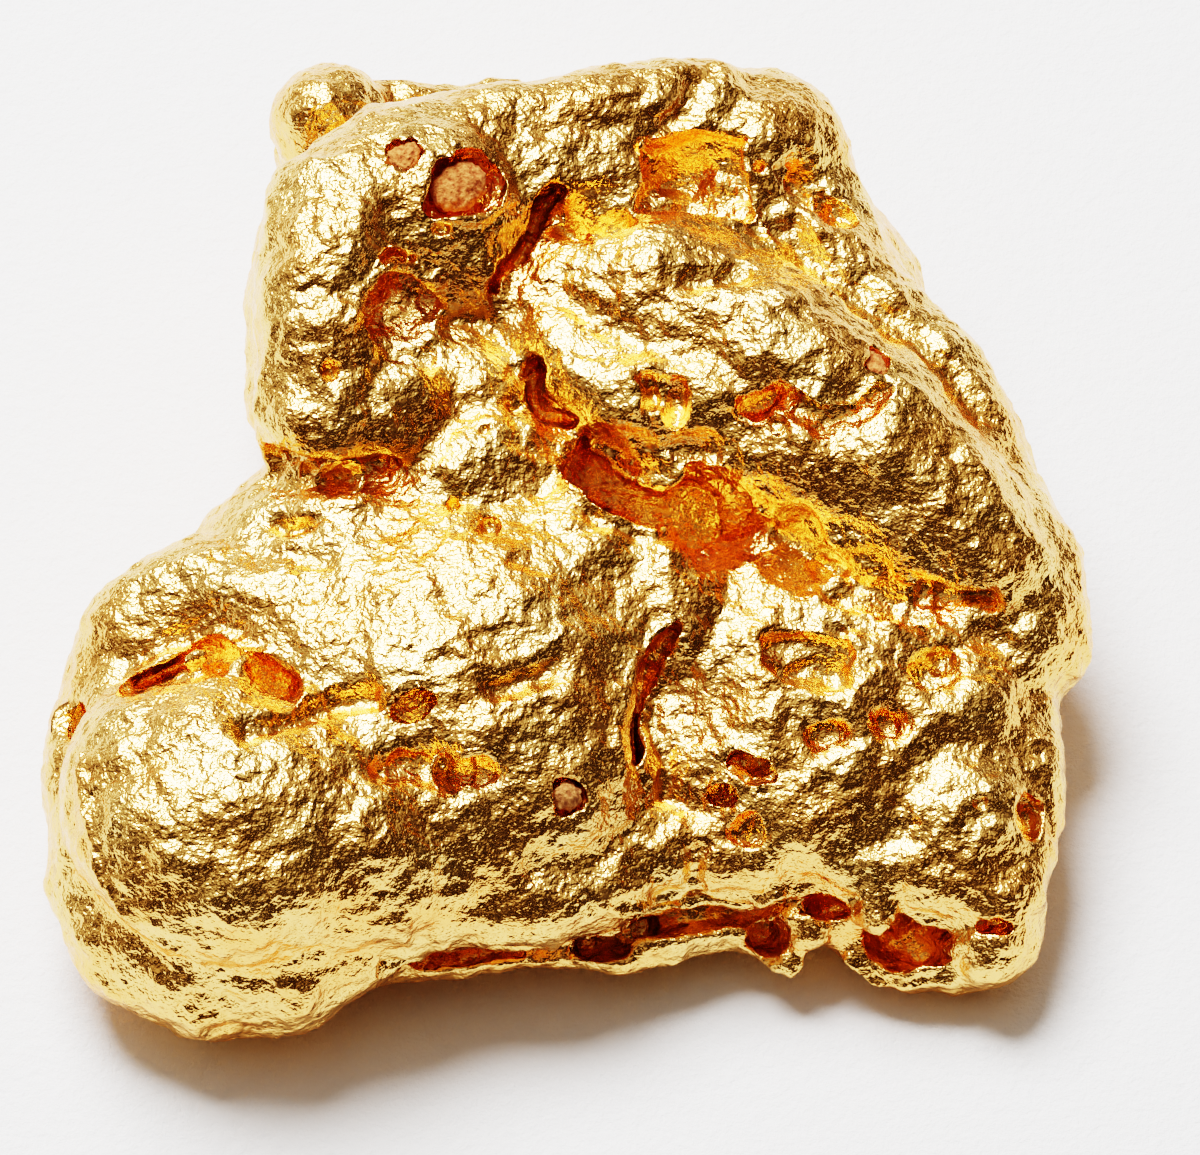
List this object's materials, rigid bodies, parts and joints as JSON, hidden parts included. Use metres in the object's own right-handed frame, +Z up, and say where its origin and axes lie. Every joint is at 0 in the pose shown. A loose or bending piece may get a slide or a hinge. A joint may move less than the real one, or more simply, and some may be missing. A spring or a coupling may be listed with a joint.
{
  "type": "gold nugget",
  "caption": "Natural lump of native gold with rolled folds, a deep hollow, pits and a ragged torn edge, with bits of clay lodged in its pits; it stands on worn flats.",
  "frame": {"origin": "middle of the nugget's box, on the table", "axes": "+Z up from the table; +X to the right and +Y away from the viewer as in the picture"},
  "size_m": [0.0209, 0.0211, 0.0088],
  "materials": {
    "gold": "worn native gold with a fine crumpled grain",
    "clay": "dull, granular",
    "brown_grain": "dull"
  },
  "bodies": {
    "root": {"nugget": "gold", "clay_in_upper_pit": "clay", "clay_on_crown": "clay", "clay_on_slab": "clay", "brown_grain": "brown_grain"}
  },
  "joints": []
}
